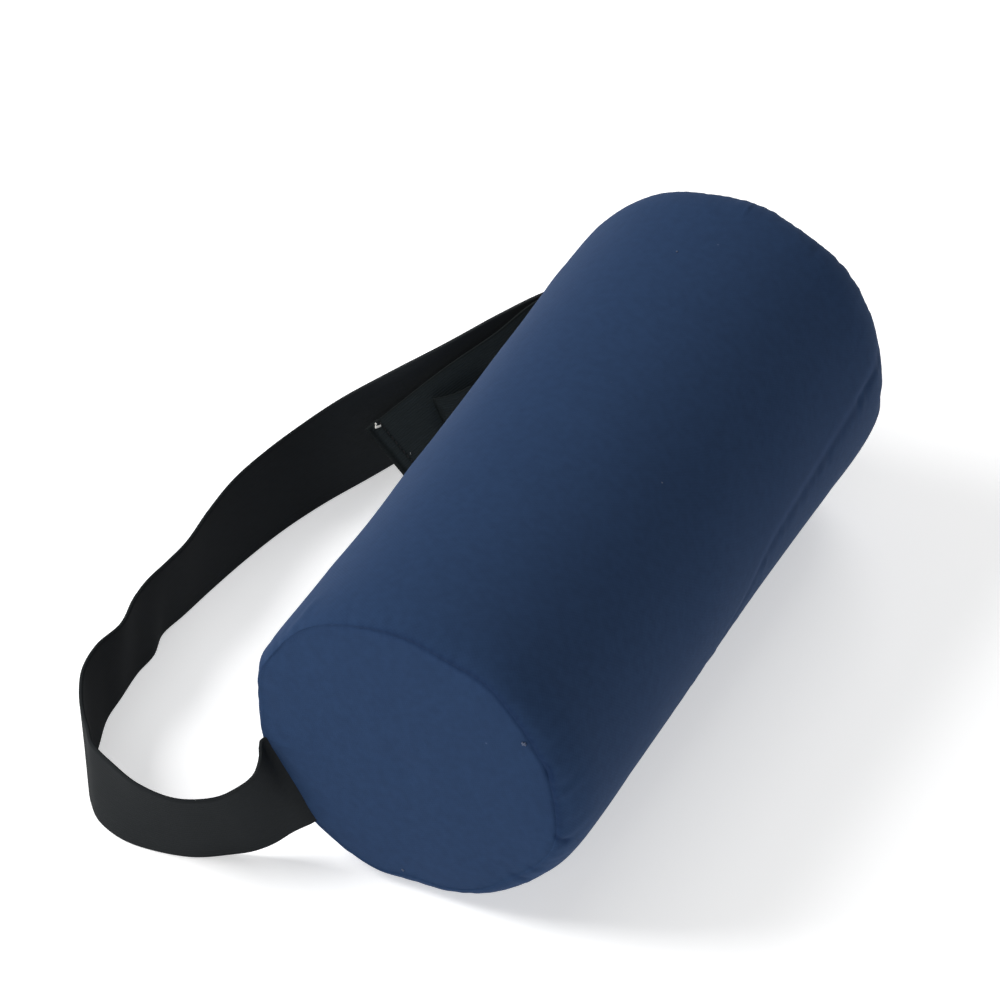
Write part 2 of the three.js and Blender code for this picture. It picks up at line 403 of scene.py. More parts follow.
def set_attribute(piece: bpy.types.Object, name: str, values: np.ndarray) -> None:
    """Give each corner of a mesh a value that its material reads."""
    attribute = piece.data.attributes.new(name, "FLOAT", "POINT")
    attribute.data.foreach_set("value", values.astype(np.float32).ravel())


def face_outwards(piece: bpy.types.Object) -> None:
    """Turn a closed mesh's faces outwards."""
    make_active(piece)
    bpy.ops.object.mode_set(mode="EDIT")
    bpy.ops.mesh.select_all(action="SELECT")
    bpy.ops.mesh.normals_make_consistent(inside=False)
    bpy.ops.object.mode_set(mode="OBJECT")


def linear(colour: str) -> tuple[float, float, float, float]:
    """Turn an sRGB hex colour into the linear values that a shader takes."""
    parts = [int(colour[i : i + 2], 16) / 255 for i in (1, 3, 5)]
    return (*(p / 12.92 if p <= 0.04045 else ((p + 0.055) / 1.055) ** 2.4 for p in parts), 1.0)


def add_node(tree: bpy.types.NodeTree, kind: str, inputs: dict | None = None, **settings) -> bpy.types.Node:
    """Add a node to a material.

    Args:
        tree: The material's node tree.
        kind: The node's type.
        inputs: Sockets by name or number; an output socket is linked and any other value is set.
        settings: The node's own settings.

    Returns:
        The new node.
    """
    node = tree.nodes.new(kind)
    for name, value in settings.items():
        setattr(node, name, value)
    for key, value in (inputs or {}).items():
        if isinstance(value, bpy.types.NodeSocket):
            tree.links.new(value, node.inputs[key])
        else:
            node.inputs[key].default_value = value
    return node


def worked_out(tree: bpy.types.NodeTree, operation: str, *terms: Value) -> bpy.types.NodeSocket:
    """Do a sum on sockets and numbers."""
    return add_node(tree, "ShaderNodeMath", dict(enumerate(terms)), operation=operation).outputs[0]


def ranged(tree: bpy.types.NodeTree, value: Value, source: Span, target: Span) -> bpy.types.NodeSocket:
    """Take a value from one range to another, held at both ends."""
    limits = dict(zip(("From Min", "From Max", "To Min", "To Max"), (*source, *target)))
    return add_node(tree, "ShaderNodeMapRange", {"Value": value, **limits}).outputs[0]


def mixed(tree: bpy.types.NodeTree, share: Value, first: Value | str, second: str) -> bpy.types.NodeSocket:
    """Blend a second colour into the first, each a socket or a hex colour."""
    low, high = (linear(colour) if isinstance(colour, str) else colour for colour in (first, second))
    return add_node(tree, "ShaderNodeMix", {"Factor": share, 6: low, 7: high}, data_type="RGBA").outputs[2]


def noise(tree: bpy.types.NodeTree, scale: float, detail: float) -> bpy.types.NodeSocket:
    """Read a noise at the object's own place, with so many waves to the metre."""
    place = add_node(tree, "ShaderNodeTexCoord").outputs["Object"]
    inputs = {"Vector": place, "Scale": scale, "Detail": detail}
    return add_node(tree, "ShaderNodeTexNoise", inputs).outputs["Fac"]


def attribute_value(tree: bpy.types.NodeTree, name: str) -> bpy.types.NodeSocket:
    """Read a value that the mesh carries."""
    return add_node(tree, "ShaderNodeAttribute", attribute_name=name).outputs["Fac"]


def raised(
    tree: bpy.types.NodeTree, height: Value, strength: float, depth_mm: float, **under: Value
) -> bpy.types.NodeSocket:
    """Tilt the surface by a height, over the relief under it if there is one."""
    inputs = {"Height": height, "Strength": strength, "Distance": depth_mm * MM, **under}
    return add_node(tree, "ShaderNodeBump", inputs).outputs[0]


def new_material(name: str) -> tuple[bpy.types.Material, bpy.types.NodeTree, bpy.types.Node]:
    """Make a material with nothing but its shader.

    Returns:
        The material, its node tree and its Principled shader.
    """
    material = bpy.data.materials.new(name)
    material.use_nodes = True
    tree = material.node_tree
    return material, tree, tree.nodes["Principled BSDF"]


def surface(
    material: bpy.types.Material, colour: Value, relief: Value, roughness: float, specular: float
) -> bpy.types.Material:
    """Join a colour and a relief to a material's shader, and set how it takes the light."""
    inputs = material.node_tree.nodes["Principled BSDF"].inputs
    material.node_tree.links.new(colour, inputs["Base Color"])
    material.node_tree.links.new(relief, inputs["Normal"])
    inputs["Roughness"].default_value = roughness
    inputs["Specular IOR Level"].default_value = specular
    return material


@dataclass(frozen=True)
class CoverCloth:
    """Piece-dyed cotton and polyester cloth in a plain weave: matt, with a soft bloom at grazing angles.

    Its threads are about 0.3 mm, drawn here twice as coarse so that they show at all.
    """

    face: str = "#273b59"
    shaded: str = "#22334e"
    highlighted: str = "#31456a"
    painted_shade: str = "#0c1f3d"
    nep: str = "#45536e"
    bloom: str = "#9db4e0"
    thread_mm: float = 0.62
    mottle_mm: float = 3.2
    fuzz_mm: float = 1.4
    nep_spread_mm: float = 14.0
    nep_mm: float = 0.5
    nep_share: float = 0.45
    mottle_share: float = 0.55
    painted_shade_share: float = 0.68
    roughness: float = 0.88
    specular: float = 0.06
    sheen: float = 0.1
    sheen_roughness: float = 0.4
    weave_depth_mm: float = 0.09
    fuzz_depth_mm: float = 0.12

    def material(self) -> bpy.types.Material:
        """Build the cloth's material on the piece's UV map, which is in mm."""
        material, tree, shader = new_material("navy_plain_weave_cloth")
        uv = add_node(tree, "ShaderNodeUVMap", uv_map="cloth").outputs["UV"]

        # Plain weave: each thread is high where it crosses over and low where it passes under.
        scale = (math.pi / self.thread_mm,) * 3
        turned = add_node(tree, "ShaderNodeMapping", {0: uv, "Scale": scale}).outputs[0]
        parts = add_node(tree, "ShaderNodeSeparateXYZ", {0: turned}).outputs
        weave = worked_out(tree, "MULTIPLY", *(worked_out(tree, "SINE", parts[axis]) for axis in (0, 1)))

        # Fuzz of fibre ends, and a slow mottle left by the dyeing.
        fuzz = noise(tree, 1000 / self.fuzz_mm, 4.0)
        mottle = ranged(tree, noise(tree, 1000 / self.mottle_mm, 3.0), (0.3, 0.7), (0, self.mottle_share))
        ground = mixed(tree, mottle, self.face, self.shaded)
        # The weave's crests are painted a little paler, a painted highlight, with the random fuzz tone over
        # it.
        light_threads = ranged(tree, worked_out(tree, "ADD", weave, fuzz), (0.2, 1.6), (0.05, 0.22))
        lit = mixed(tree, light_threads, ground, self.highlighted)
        # Painted highlight along the seams' ridges and lips.
        highlighted = mixed(tree, attribute_value(tree, "painted_highlight"), lit, self.highlighted)

        # Neps: small paler knots of fibre that took less dye, on under half of the spots.
        place = add_node(tree, "ShaderNodeTexCoord").outputs["Object"]
        cells = {"Vector": place, "Scale": 1000 / self.nep_spread_mm}
        spots = add_node(tree, "ShaderNodeTexVoronoi", cells).outputs
        reach = self.nep_mm / self.nep_spread_mm
        small = ranged(tree, spots["Distance"], (0.4 * reach, reach), (0.8, 0))
        lot = add_node(tree, "ShaderNodeSeparateColor", {0: spots["Color"]}).outputs[0]
        chosen = worked_out(tree, "LESS_THAN", lot, self.nep_share)
        flecked = mixed(tree, worked_out(tree, "MULTIPLY", small, chosen), highlighted, self.nep)

        # Painted shade: the end seams, the closure seam's groove and the deep folds are darkened towards a
        # dark blue where the cloth turns in, out of the light.
        shadow = ranged(tree, attribute_value(tree, "painted_shading"), (0, 1), (0, self.painted_shade_share))
        colour = mixed(tree, shadow, flecked, self.painted_shade)

        woven = raised(tree, weave, 0.16, self.weave_depth_mm)
        soft = raised(tree, fuzz, 0.5, self.fuzz_depth_mm, Normal=woven)
        shader.inputs["Sheen Weight"].default_value = self.sheen
        shader.inputs["Sheen Roughness"].default_value = self.sheen_roughness
        shader.inputs["Sheen Tint"].default_value = linear(self.bloom)
        return surface(material, colour, soft, self.roughness, self.specular)


@dataclass(frozen=True)
class StrapCloth:
    """Black narrow fabric: lengthwise ribs crossed by finer picks."""

    name: str
    face: str
    hollow: str
    rib_mm: float
    pick_mm: float
    rib_depth_mm: float
    roughness: float
    contrast: float
    edge_shade: float
    toned: str
    shadow: str = "#0b0d0e"
    specular: float = 0.03

    def material(self) -> bpy.types.Material:
        """Build the strap's material on the piece's UV map, which is in mm across and along."""
        material, tree, _ = new_material(self.name)
        uv = add_node(tree, "ShaderNodeUVMap", uv_map="cloth").outputs["UV"]
        parts = add_node(tree, "ShaderNodeSeparateXYZ", {0: uv}).outputs
        ribs, picks = (
            worked_out(tree, "COSINE", worked_out(tree, "MULTIPLY", parts[axis], 2 * math.pi / pitch))
            for axis, pitch in enumerate((self.rib_mm, self.pick_mm))
        )
        relief = worked_out(tree, "ADD", ribs, worked_out(tree, "MULTIPLY", picks, 0.35))
        rough = worked_out(tree, "ADD", noise(tree, 160.0, 5.0), relief)
        # The ribs' hollows are painted darker, a painted shade, with a random noise tone over it.
        tone = ranged(tree, rough, (-0.9, 1.9), (0.5 - self.contrast, 0.5 + self.contrast))
        cloth = mixed(tree, tone, self.hollow, self.face)
        # Painted light: the band's inner face is painted paler towards its far end, where the roll and the
        # tab keep the light off it; the outer face is paler all over.
        toned = mixed(tree, attribute_value(tree, "paling"), cloth, self.toned)

        # Painted shade: the selvedges, the folds, the stitch row and the cut ends are darkened towards near
        # black.
        shadow = worked_out(tree, "MULTIPLY", attribute_value(tree, "edge"), self.edge_shade)
        colour = mixed(tree, shadow, toned, self.shadow)
        bump = raised(tree, relief, 0.5, self.rib_depth_mm)
        return surface(material, colour, bump, self.roughness, self.specular)


ELASTIC = StrapCloth("black_woven_elastic", "#212325", "#191b1c", 1.3, 0.6, 0.03, 0.8, 0.06, 0.1, "#383b3d")
# The webbing's colours are painted paler than its own near black, a painted light on the tab, which the roll
# and the band keep out of the light.
WEBBING = StrapCloth("black_ribbed_webbing", "#373d3e", "#2a2f30", 1.0, 0.5, 0.05, 0.62, 0.18, 0.7, "#373d3e")


@dataclass(frozen=True)
class ThreadFinish:
    """Spun polyester sewing thread, or a fibre of undyed cotton."""

    name: str
    colour: str
    toned: str

    def material(self) -> bpy.types.Material:
        """Build the thread's material, with its twist as a fine noise along it."""
        material, tree, _ = new_material(self.name)
        twist = noise(tree, 3500.0, 2.0)
        colour = mixed(tree, twist, self.colour, self.toned)
        return surface(material, colour, raised(tree, twist, 0.6, 0.05), 0.7, 0.5)


BLACK_THREAD = ThreadFinish("black_polyester_thread", "#0d0e0f", "#1b1c1e")
UNDYED_THREAD = ThreadFinish("undyed_cotton_thread", "#f2f0ea", "#d8d5cb")
GREY_LINT = ThreadFinish("grey_cotton_lint", "#47536c", "#3b465d")


@dataclass(frozen=True)
class SettledForm:
    """The roll under its own filling's pressure, which tells how full its cover stands at each place."""

    voxel_mm: float = 5.0
    slack_mm: float = 1.5
    pressure: float = 4.0
    frames: int = 20
    cap_mm: float = 6.0

    def settle(self) -> BVHTree:
        """Blow a copy of the CAD roll up as cloth.

        Returns:
            The settled surface in metres.
        """
        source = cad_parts["roll"]
        form = bpy.data.objects.new("settled_form", source.data.copy())
        bpy.context.scene.collection.objects.link(form)
        make_active(form)
        bpy.ops.object.mode_set(mode="EDIT")
        bpy.ops.mesh.select_all(action="SELECT")
        bpy.ops.mesh.remove_doubles(threshold=0.01 * MM)
        bpy.ops.object.mode_set(mode="OBJECT")
        for corner in form.data.vertices:
            corner.co -= corner.normal * self.slack_mm * MM
        remesh = form.modifiers.new("even_cloth", "REMESH")
        remesh.mode = "VOXEL"
        remesh.voxel_size = self.voxel_mm * MM
        bpy.ops.object.modifier_apply(modifier=remesh.name)
        start = np.array([corner.co[:] for corner in form.data.vertices])
        cloth = form.modifiers.new("filling", "CLOTH")
        cloth.settings.use_pressure = True
        cloth.settings.uniform_pressure_force = self.pressure
        cloth.settings.effector_weights.gravity = 0
        cloth.point_cache.frame_end = self.frames
        for step in range(1, self.frames + 1):
            bpy.context.scene.frame_set(step)
        bpy.ops.object.modifier_apply(modifier=cloth.name)
        bpy.context.scene.frame_set(1)
        moved = np.array([corner.co[:] for corner in form.data.vertices]) - start
        length = np.linalg.norm(moved, axis=1, keepdims=True)
        moved *= np.minimum(1, self.cap_mm * MM / np.maximum(length, 1e-9))
        form.data.vertices.foreach_set("co", (start + moved).astype(np.float32).ravel())
        log.info("filling pushed the cover out by up to %.1f mm", length.max() / MM)
        tree = BVHTree.FromPolygons(
            [corner.co for corner in form.data.vertices], [face.vertices[:] for face in form.data.polygons]
        )
        bpy.data.objects.remove(form)
        return tree

    @staticmethod
    def fullness(tree: BVHTree, points: np.ndarray, normals: np.ndarray) -> np.ndarray:
        """How far the settled surface stands out from each point, in mm."""
        reach = 12 * MM
        result = np.zeros(points.shape[:2])
        for index in np.ndindex(*result.shape):
            normal = Vector(normals[index])
            origin = Vector(points[index]) * MM - normal * reach
            hit = tree.ray_cast(origin, normal, 2 * reach)
            result[index] = 0 if hit[0] is None else (hit[3] - reach) / MM
        return result


@dataclass(frozen=True)
class Crease:
    """A fold or dent in the cover: a line on its surface, how high it stands and how wide it is, in mm, and
    how much painted shade a deep one gets.
    """

    start: Point
    end: Point
    height: float
    width: float
    dark: float = 0.0

    def relief(self, points: np.ndarray) -> np.ndarray:
        """The fold's height at each point."""
        distance, share = segment_distance(points, self.start, self.end)
        fade = 0.55 + 0.45 * np.sin(math.pi * share)
        return self.height * fade * bell(distance, self.width)

    def shade(self, points: np.ndarray) -> np.ndarray:
        """How far the fold is out of the light at each point, if it is a deep one."""
        distance, _ = segment_distance(points, self.start, self.end)
        return self.dark * bell(distance, self.width)


@dataclass(frozen=True)
class Cover:
    """The sewn cover on its filled roll: a tube panel with a lapped closure seam, and two end discs."""

    end_crown: float = 1.8
    corner_depth: float = 18.5
    corner_arc: float = 20.4
    seam_dip: float = 0.8
    dip_width: float = 2.4
    lip_spread: float = 7.5
    seam_cut: float = 0.25
    cut_width: float = 1.0
    stitch_pitch: float = 3.4
    stitch_pull: float = 0.08
    disc_pull: float = 0.6
    far_pull: float = 1.9
    near_pull_reach: float = 2.6
    far_pull_reach: float = 4.5
    gather_height: float = 0.36
    gather_reach: float = 8.0
    gather_start: float = 1.4
    gather_slant: float = 0.004
    gather_pitches: Span = (5.5, 15.0)
    disc_gather: float = 0.5
    disc_gather_reach: float = 0.6
    pucker_height: float = 0.17
    hollow_depth: float = 0.34
    hollow_place: float = 1.7
    hollow_width: float = 3.1
    groove_place: float = 0.8
    groove_below: float = 3.0
    groove_above: float = 1.7
    groove_shade: float = 0.3
    lip_place: float = 4.4
    lip_width: float = 2.2
    lip_highlight: float = 0.22
    tight_span: Span = (-40.0, 30.0)
    least_tight: float = 0.35
    ridge_place: float = 2.2
    ridge_width: float = 1.6
    ridge_highlight: float = 0.12
    disc_shade_width: float = 1.1
    tube_shade_width: float = 1.9
    disc_shade: float = 0.75
    tube_shade: float = 1.2
    stitch_shade: float = 0.15
    fullness_share: float = 0.3
    fullness_cap: float = 0.8
    uneven: float = 0.16
    uneven_waves: int = 16
    uneven_lengths: Span = (45.0, 150.0)
    disc_uneven: float = 0.3
    disc_grain: float = 24.0
    column_step: float = 0.84
    tube_step: float = 2.4
    seed: int = 11

    # Distances of the mesh rows from an end seam, on the disc and round the corner
    disc_rows: tuple[float, ...] = (
        0.25, 0.5, 0.8, 1.15, 1.6, 2.2, 3, 4, 5.2, 6.6, 8.4, 10.6, 13.5, 17, 21.5, 27, 33, 39, 45, 51,
    )
    corner_rows: tuple[float, ...] = (
        0.25, 0.5, 0.8, 1.15, 1.6, 2.1, 2.7, 3.4, 4.2, 5.1, 6.1, 7.2, 8.4, 9.7, 11.1, 12.6, 14.2, 15.9, 17.8,
    )
    seam_columns: tuple[float, ...] = (0.35, 0.7, 1.05, 1.4, 1.8, 2.3, 2.9, 3.6)

    creases: tuple[Crease, ...] = (
        Crease((-41.5, -119.0, 110.4), (-43.9, -128.1, 107.7), 0.5, 2.8),
        Crease((-43.9, -128.1, 107.7), (-47.8, -132.1, 100.1), 0.45, 2.4),
        Crease((-52.7, -132.9, 48.1), (-46.3, -133.6, 51.5), 0.35, 1.5),
        Crease((53.2, -132.5, 83.1), (53.9, -132.4, 79.9), -0.5, 1.5, 1.0),
        Crease((57.2, -132.2, 52.4), (59.6, -130.0, 49.8), -0.7, 1.4, 1.0),
        Crease((58.8, -128.3, 45.3), (52.4, -132.3, 44.0), 0.3, 2.2),
        Crease((52.4, -132.3, 44.0), (46.8, -132.6, 36.9), 0.2, 2.1),
        Crease((48.8, -132.2, 33.3), (45.9, -132.3, 33.8), -0.3, 1.3, 0.3),
        Crease((44.2, -131.8, 26.3), (39.5, -132.3, 26.7), -0.4, 1.4, 0.4),
        Crease((33.4, 125.7, 115.0), (33.5, 119.3, 116.4), -0.45, 1.6),
        Crease((62.4, 101.4, 69.3), (62.7, 103.1, 74.0), -0.4, 1.4),
        Crease((62.7, 103.1, 74.0), (61.2, 121.5, 73.8), -0.35, 1.6),
    )
    # Where the filling leaves the tube slack, on the strap's side, and where it packs the ends fuller.
    swells: tuple[Crease, ...] = (
        Crease((-56.6, -85.0, 91.7), (-56.6, -25.0, 91.7), -1.4, 34.0),
        Crease((-56.6, 2.0, 91.7), (-56.6, 48.0, 91.7), -0.45, 24.0),
        Crease((-56.6, 84.0, 91.7), (-56.6, 100.0, 91.7), 0.6, 13.0),
        Crease((62.2, -126.0, 49.7), (62.2, -80.0, 49.7), 1.4, 22.0),
        Crease((55.5, -62.0, 31.0), (60.0, -16.0, 41.5), 0.6, 8.0),
        Crease((56.1, 92.0, 33.1), (56.1, 130.0, 33.1), 1.2, 21.0),
        Crease((61.0, 122.0, 44.0), (60.0, 130.0, 46.0), 0.55, 6.0),
        Crease((62.0, 124.0, 54.0), (61.5, 130.0, 55.0), -0.5, 3.5),
        Crease((45.7, 124.0, 107.0), (19.6, 124.0, 123.3), 1.6, 9.0),
        Crease((7.0, 124.0, 124.5), (5.0, 124.0, 124.8), 1.2, 5.0),
        Crease((-57.5, -127.0, 87.0), (-59.5, -127.0, 80.0), 1.3, 8.0),
        Crease((-36.4, -124.0, 12.7), (-15.0, -124.0, 2.9), 0.3, 8.0),
    )

    def corner_angle(self, arc: np.ndarray) -> np.ndarray:
        """The corner's turn in radians at a distance round it from the seam."""
        turn = np.linspace(0, math.pi / 2, 400)
        radial = (ROLL_RADIUS - SEAM_RADIUS) * np.sin(turn)
        axial = self.corner_depth * (1 - np.cos(turn))
        gone = np.concatenate([[0], np.cumsum(np.hypot(np.diff(radial), np.diff(axial)))])
        return np.interp(arc, gone, turn)

    def rows(self) -> dict[str, np.ndarray]:
        """The mesh rows from the near disc's middle to the far one's.

        Returns:
            For each row: the end it belongs to, how far out it lies on its disc, its corner angle,
            its place along the roll, its distance from the end seam, and whether it is on a disc.
        """
        share = 1 - np.array(self.disc_rows) / SEAM_RADIUS
        arcs = np.array(self.corner_rows)
        turn = self.corner_angle(arcs)
        straight = HALF_LENGTH - self.corner_depth
        count = 2 * round(straight / self.tube_step)
        tube = np.linspace(-straight, straight, count + 1)
        near = {
            "share": np.concatenate([share[::-1], [1], np.ones_like(arcs)]),
            "turn": np.concatenate([np.zeros(len(share) + 1), turn]),
            "seam": np.concatenate([self.disc_rows[::-1], [0], arcs]),
            "disc": np.concatenate([np.ones(len(share)), np.zeros(len(arcs) + 1)]),
        }
        near["y"] = -(HALF_LENGTH - self.corner_depth * (1 - np.cos(near["turn"])))
        middle = {
            "share": np.ones_like(tube),
            "turn": np.full_like(tube, math.pi / 2),
            "seam": self.corner_arc + straight - np.abs(tube),
            "disc": np.zeros_like(tube),
            "y": tube,
        }
        rows = {
            key: np.concatenate([near[key], middle[key], (-near[key] if key == "y" else near[key])[::-1]])
            for key in near
        }
        rows["end"] = np.where(rows["y"] < 0, End.NEAR.value, End.FAR.value)
        return {key: value[:, None] for key, value in rows.items()}

    def columns(self) -> np.ndarray:
        """Distances round the tube from the closure seam, in mm, over a whole turn."""
        turn = 2 * math.pi * ROLL_RADIUS
        last = self.seam_columns[-1]
        count = round((turn - 2 * last) / self.column_step)
        even = np.linspace(last, turn - last, count + 1)[1:-1]
        close = np.array(self.seam_columns)
        return np.concatenate([[0], close, even, turn - close[::-1]])

    @staticmethod
    def drawn(end: np.ndarray, angle: np.ndarray) -> np.ndarray:
        """How deep the end seam draws in, as a share of the deepest, at an angle in radians."""
        return np.maximum(by_end(end, angle, NEAR_DRAW, FAR_DRAW), 0)

    def stitch_wave(self, angle: np.ndarray) -> np.ndarray:
        """A wave round the roll with one crest between every two stitches of an end seam."""
        count = round(2 * math.pi * SEAM_RADIUS / self.stitch_pitch)
        wobble = 0.8 * np.sin(7 * angle) + 0.6 * np.sin(11 * angle + 1)
        return np.cos(count * angle + wobble)

    def build(self, form: BVHTree) -> bpy.types.Object:
        """Lay the cover over the settled roll.

        Args:
            form: The settled roll's surface.

        Returns:
            The cover, with its UV map and its painted shade and painted highlight attributes.
        """
        rng = np.random.default_rng(self.seed)
        rows, arcs = self.rows(), self.columns()[None, :]
        from_seam = arcs / ROLL_RADIUS
        shorter = np.where(from_seam > math.pi, from_seam - 2 * math.pi, from_seam) * ROLL_RADIUS
        follow = (1 + np.cos(from_seam)) / 2
        angle = from_seam + follow * np.radians(smooth_reading(CLOSURE, rows["y"]))
        end, share, turn, seam_at = (rows[key] for key in ("end", "share", "turn", "seam"))
        on_disc = rows["disc"] > 0
        seam = by_end(end, angle, NEAR_SEAM, FAR_SEAM)

        # The closure seam lies in a hollow, slacker towards the near end.
        slack, taut = self.tight_span
        tight = np.clip((rows["y"] - slack) / (taut - slack), self.least_tight, 1)
        hollow = tight * self.hollow_depth * bell(shorter - self.hollow_place, self.hollow_width)
        radius = share * (seam + (ROLL_RADIUS - seam - hollow) * np.sin(turn))
        inside = (1 - share) * seam + self.lip_spread * np.sin(turn)
        drawn = self.drawn(end, angle)
        dip = self.seam_dip * drawn * np.exp(-inside / self.dip_width)
        crown = self.end_crown * (1 - share**2)
        inward = self.corner_depth * (1 - np.cos(turn)) + dip - crown
        y = np.where(turn < math.pi / 2, end * (HALF_LENGTH - inward), rows["y"] + 0 * inward)
        points = np.stack([radius * np.cos(angle), y, AXIS_HEIGHT + radius * np.sin(angle)], axis=2)
        normals = grid_normals(points)

        lift = self.filled(form, points, normals, on_disc)
        lift += self.gathers(rng, angle, rows)
        lift += self.pulls(angle, rows)
        lift += self.closure_puckers(rng, shorter, rows)
        lift += self.unevenness(rng, angle, rows)
        lift += sum(mark.relief(points) for mark in self.creases + self.swells)
        lift -= self.seam_cut * drawn * bell(seam_at, self.cut_width)
        points = points + normals * lift[..., None]
        points[..., 2] = np.maximum(points[..., 2], 0)

        # Painted shade: along the end seams, dashed by the stitches, in the closure seam's groove and in the
        # deep folds.
        past_row = shorter - self.groove_place
        groove = bell(past_row, np.where(past_row < 0, self.groove_below, self.groove_above))
        groove = tight * groove * np.clip(np.sin(turn), 0, 1) * ~on_disc
        painted_shade = bell(seam_at, np.where(on_disc, self.disc_shade_width, self.tube_shade_width))
        stitches = 1 - self.stitch_shade * self.stitch_wave(angle)
        sewn = np.where(on_disc, self.disc_shade, self.tube_shade) * drawn * stitches * painted_shade
        marks = sum(mark.shade(points) for mark in self.creases)
        painted_shading = np.clip(sewn + self.groove_shade * groove + marks, 0, 1)
        # Painted highlight: a paler ridge beside the end seams on the discs, and a paler band along the
        # closure seam's upper lip.
        ridge = self.ridge_highlight * bell(seam_at - self.ridge_place, self.ridge_width) * drawn * on_disc
        lip = self.lip_highlight * tight * bell(shorter - self.lip_place, self.lip_width) * ~on_disc
        painted_highlight = np.clip(ridge + lip, 0, 1)
        return self.mesh(points, arcs[0], rows, painted_shading, painted_highlight)

    def filled(
        self, form: BVHTree, points: np.ndarray, normals: np.ndarray, on_disc: np.ndarray
    ) -> np.ndarray:
        """How the filling swells the cover from place to place, apart from its even share."""
        skip = (3, 12)
        coarse = SettledForm.fullness(form, points[:: skip[0], :: skip[1]], normals[:: skip[0], :: skip[1]])
        rows = np.arange(points.shape[0])
        columns = np.arange(points.shape[1])
        closed = np.concatenate([coarse, coarse[:, :1]], axis=1)
        at_columns = np.arange(closed.shape[1]) * skip[1]
        wide = np.stack([np.interp(columns, at_columns, line) for line in closed])
        at_rows = np.arange(coarse.shape[0]) * skip[0]
        full = np.stack([np.interp(rows, at_rows, line) for line in wide.T], axis=1)
        for _ in range(12):
            full = (np.roll(full, 1, 1) + 2 * full + np.roll(full, -1, 1)) / 4
            full[1:-1] = (full[:-2] + 2 * full[1:-1] + full[2:]) / 4
        disc = on_disc[:, 0]
        for part in (disc, ~disc):
            full[part] -= full[part].mean()
        return np.clip(self.fullness_share * full, -self.fullness_cap, self.fullness_cap)

    def gathers(self, rng: np.random.Generator, angle: np.ndarray, rows: dict[str, np.ndarray]) -> np.ndarray:
        """Gathers in the cloth along the end seams, which run out a little way from them."""
        amount = by_end(rows["end"], angle, NEAR_GATHER, FAR_GATHER)
        away = rows["seam"]
        total = np.zeros_like(angle)
        for end in End:
            for disc in (False, True):
                here = (rows["end"] == end.value) & ((rows["disc"] > 0) == disc)
                reach = self.gather_reach * (self.disc_gather_reach if disc else 1)
                height = self.gather_height * (self.disc_gather if disc else 1)
                slant = angle + self.gather_slant * away * rng.uniform(-1, 1)
                waves = ripples(rng, slant, ROLL_RADIUS, self.gather_pitches)
                grown = 1 - np.exp(-away / self.gather_start)
                total += here * height * amount * waves * grown * np.exp(-away / reach)
        return total

    def pulls(self, angle: np.ndarray, rows: dict[str, np.ndarray]) -> np.ndarray:
        """The small puckers that each stitch of an end seam pulls in the cloth."""
        far = rows["end"] > 0
        reach = np.where(far, self.far_pull_reach, self.near_pull_reach)
        strength = np.where(rows["disc"] > 0, self.disc_pull, 1.0) * np.where(far, self.far_pull, 1.0)
        strength = strength * self.drawn(rows["end"], angle)
        return -self.stitch_pull * strength * self.stitch_wave(angle) * np.exp(-rows["seam"] / reach)

    def closure_puckers(
        self, rng: np.random.Generator, shorter: np.ndarray, rows: dict[str, np.ndarray]
    ) -> np.ndarray:
        """Small puckers along the closure seam, mostly on the lower panel."""
        y = rows["y"]
        pitches = (5.2, 6.9, 8.3, 11.7)
        waves = sum(np.cos(2 * math.pi * y / pitch + rng.uniform(0, 6.28)) for pitch in pitches) / 2
        middle = bell(y - 15, 30)
        below = np.exp(-((shorter + 2.5) ** 2) / 12) + 0.9 * middle * bell(shorter + 13, 6)
        above = 0.35 * np.exp(-((shorter - 2) ** 2) / 8)
        fade = np.where(rows["disc"] > 0, 0, 1) * np.clip(rows["seam"] / 6, 0, 1)
        return self.pucker_height * waves * (below + above) * fade

    def unevenness(
        self, rng: np.random.Generator, angle: np.ndarray, rows: dict[str, np.ndarray]
    ) -> np.ndarray:
        """Slow rises and hollows of a few hundredths to tenths of a millimetre in the filled cover."""
        total = np.zeros_like(angle)
        for _ in range(self.uneven_waves):
            turns = rng.integers(1, 9)
            length = rng.uniform(*self.uneven_lengths)
            phase = rng.uniform(0, 2 * math.pi, 2)
            total += np.cos(turns * angle + phase[0]) * np.cos(2 * math.pi * rows["y"] / length + phase[1])
        return self.uneven * total / 4 * np.where(rows["disc"] > 0, self.disc_uneven, 1)

    def mesh(
        self,
        points: np.ndarray,
        arcs: np.ndarray,
        rows: dict[str, np.ndarray],
        painted_shading: np.ndarray,
        painted_highlight: np.ndarray,
    ) -> bpy.types.Object:
        """Join the grid of points into a closed mesh with its UV map in mm."""
        height, width = points.shape[:2]
        corner_rows, corner_columns, quads = ring_faces(height, width)
        poles = [[0, end.value * (HALF_LENGTH + self.end_crown), AXIS_HEIGHT] for end in End]
        first = height * width
        around = np.arange(width)
        after = (around + 1) % width
        base = (height - 1) * width
        fans = [(first, int(a), int(b)) for a, b in zip(around, after)]
        fans += [(first + 1, int(base + b), int(base + a)) for a, b in zip(around, after)]
        corners = np.concatenate([points.reshape(-1, 3), np.array(poles)])
        piece = mesh_piece("roll_cover", corners, quads.tolist() + fans)

